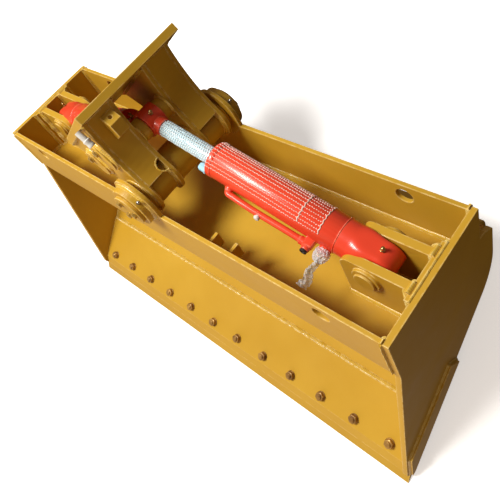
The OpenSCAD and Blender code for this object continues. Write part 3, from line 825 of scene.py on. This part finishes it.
def rod_net():
    """Knitted netting pulled over the bare rod: rows of stitches along it that touch at each turn."""
    place = CYLINDER["right"]
    rod = span("right_rod", place)
    start = span("right_gland", place)[1].x + 0.002
    end = span("right_rod_eye", place)[0].x - 0.001
    f = Form()
    rows, stitch = 16, 0.0064
    for k in range(rows):
        path = []
        for i in range(int((end - start) / stitch * 6)):
            x = start + i * stitch / 6
            wave = 2 * math.pi * x / stitch + k * math.pi
            a = 2 * math.pi * (k + 0.3 * math.sin(wave)) / rows
            radius = rod[1].z + 0.0009 + 0.0003 * math.sin(i * 1.3 + k)
            path.append(Vector((x, radius * math.cos(a), radius * math.sin(a))))
        f.tube(path, 0.0012, 5)
    return f, place, end


build("barrel_net", barrel_net(), CYLINDER["right"], "right_barrel", NET, ["net_sleeve"])
net, place, net_end = rod_net()
net = build("rod_net", net, place, "right_rod", ROD_NET)
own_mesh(net)

# ---- Stage ----

CAMERA_AT = Vector((1.0723, 0.877, 1.4062))
CAMERA_LOOKS = Vector((-0.5735, -0.2379, -0.7839))
CAMERA_UP = Vector((-0.3559, 0.9343, -0.0231))


def make_camera():
    data = bpy.data.cameras.new("camera")
    data.lens, data.sensor_width = 38.6, 36.0
    data.shift_x, data.shift_y = -0.047, -0.06
    data.clip_start, data.clip_end = 0.05, 60.0
    camera = bpy.data.objects.new("camera", data)
    bpy.context.scene.collection.objects.link(camera)
    back = -CAMERA_LOOKS.normalized()
    right = CAMERA_UP.cross(back).normalized()
    camera.matrix_world = axes(CAMERA_AT, right, back.cross(right), back)
    bpy.context.scene.camera = camera


def area_light(name, at, aim, size, power, colour=(1, 1, 1)):
    data = bpy.data.lights.new(name, "AREA")
    data.size, data.energy, data.color = size, power, colour
    lamp = bpy.data.objects.new(name, data)
    bpy.context.scene.collection.objects.link(lamp)
    lamp.location = at
    lamp.rotation_mode = "QUATERNION"
    lamp.rotation_quaternion = (Vector(aim) - Vector(at)).to_track_quat("-Z", "Y")


def sky(tree):
    """Soft light from above and the left, from the front and a little from behind.

    The camera itself sees plain white beyond the floor.
    """
    split = tree.nodes.new("ShaderNodeSeparateXYZ")
    tree.links.new(tree.nodes.new("ShaderNodeTexCoord").outputs["Generated"], split.inputs[0])

    def part(axis, low, high, dark, bright):
        node = tree.nodes.new("ShaderNodeMapRange")
        tree.links.new(split.outputs[axis], node.inputs["Value"])
        for key, value in (("From Min", low), ("From Max", high), ("To Min", dark), ("To Max", bright)):
            node.inputs[key].default_value = value
        return node.outputs["Result"]

    def both(operation, a, b):
        node = tree.nodes.new("ShaderNodeMath")
        node.operation = operation
        tree.links.new(a, node.inputs[0])
        tree.links.new(b, node.inputs[1])
        return node.outputs[0]

    above = both("MULTIPLY", part("Z", 0.0, 0.9, 0.03, 0.36), part("X", 0.6, -0.8, 0.25, 1.0))
    front = part("Y", -0.2, -1.0, 0.0, 1.0)
    behind = part("Y", 0.2, 1.0, 0.0, 0.25)
    light = tree.nodes["Background"]
    tree.links.new(both("ADD", both("ADD", above, front), behind), light.inputs["Strength"])
    light.inputs["Color"].default_value = (1.0, 0.77, 0.56, 1)
    plain = tree.nodes.new("ShaderNodeBackground")
    plain.inputs["Color"].default_value = (1.0, 0.99, 0.98, 1)
    choice = tree.nodes.new("ShaderNodeMixShader")
    tree.links.new(tree.nodes.new("ShaderNodeLightPath").outputs["Is Camera Ray"], choice.inputs["Fac"])
    tree.links.new(light.outputs[0], choice.inputs[1])
    tree.links.new(plain.outputs[0], choice.inputs[2])
    tree.links.new(choice.outputs[0], tree.nodes["World Output"].inputs["Surface"])


def make_stage():
    mesh = bpy.data.meshes.new("floor")
    half = 14.0
    corners = [(-half, -half, 0), (half, -half, 0), (half, half, 0), (-half, half, 0)]
    mesh.from_pydata(corners, [], [(0, 1, 2, 3)])
    floor = bpy.data.objects.new("floor", mesh)
    bpy.context.scene.collection.objects.link(floor)
    n = Nodes("floor")
    mesh.materials.append(n.set(
        Base_Color=n.mix(n.noise(4), (0.90, 0.90, 0.90), (0.94, 0.94, 0.94)), Roughness=0.7, Specular_IOR_Level=0.2,
        Emission_Color=(1.0, 1.0, 1.0), Emission_Strength=0.5,
    ))
    floor.visible_diffuse = False
    floor.visible_glossy = False
    world = bpy.data.worlds.new("studio")
    world.use_nodes = True
    sky(world.node_tree)
    bpy.context.scene.world = world
    middle = (CAD_BOX[0] + CAD_BOX[1]) / 2
    area_light("key", middle + 4.0 * Vector((-0.24, 0.20, 0.95)), middle, 1.3, 212, (1.0, 0.985, 0.95))
    bpy.context.scene.view_settings.view_transform = "Standard"


make_camera()
make_stage()
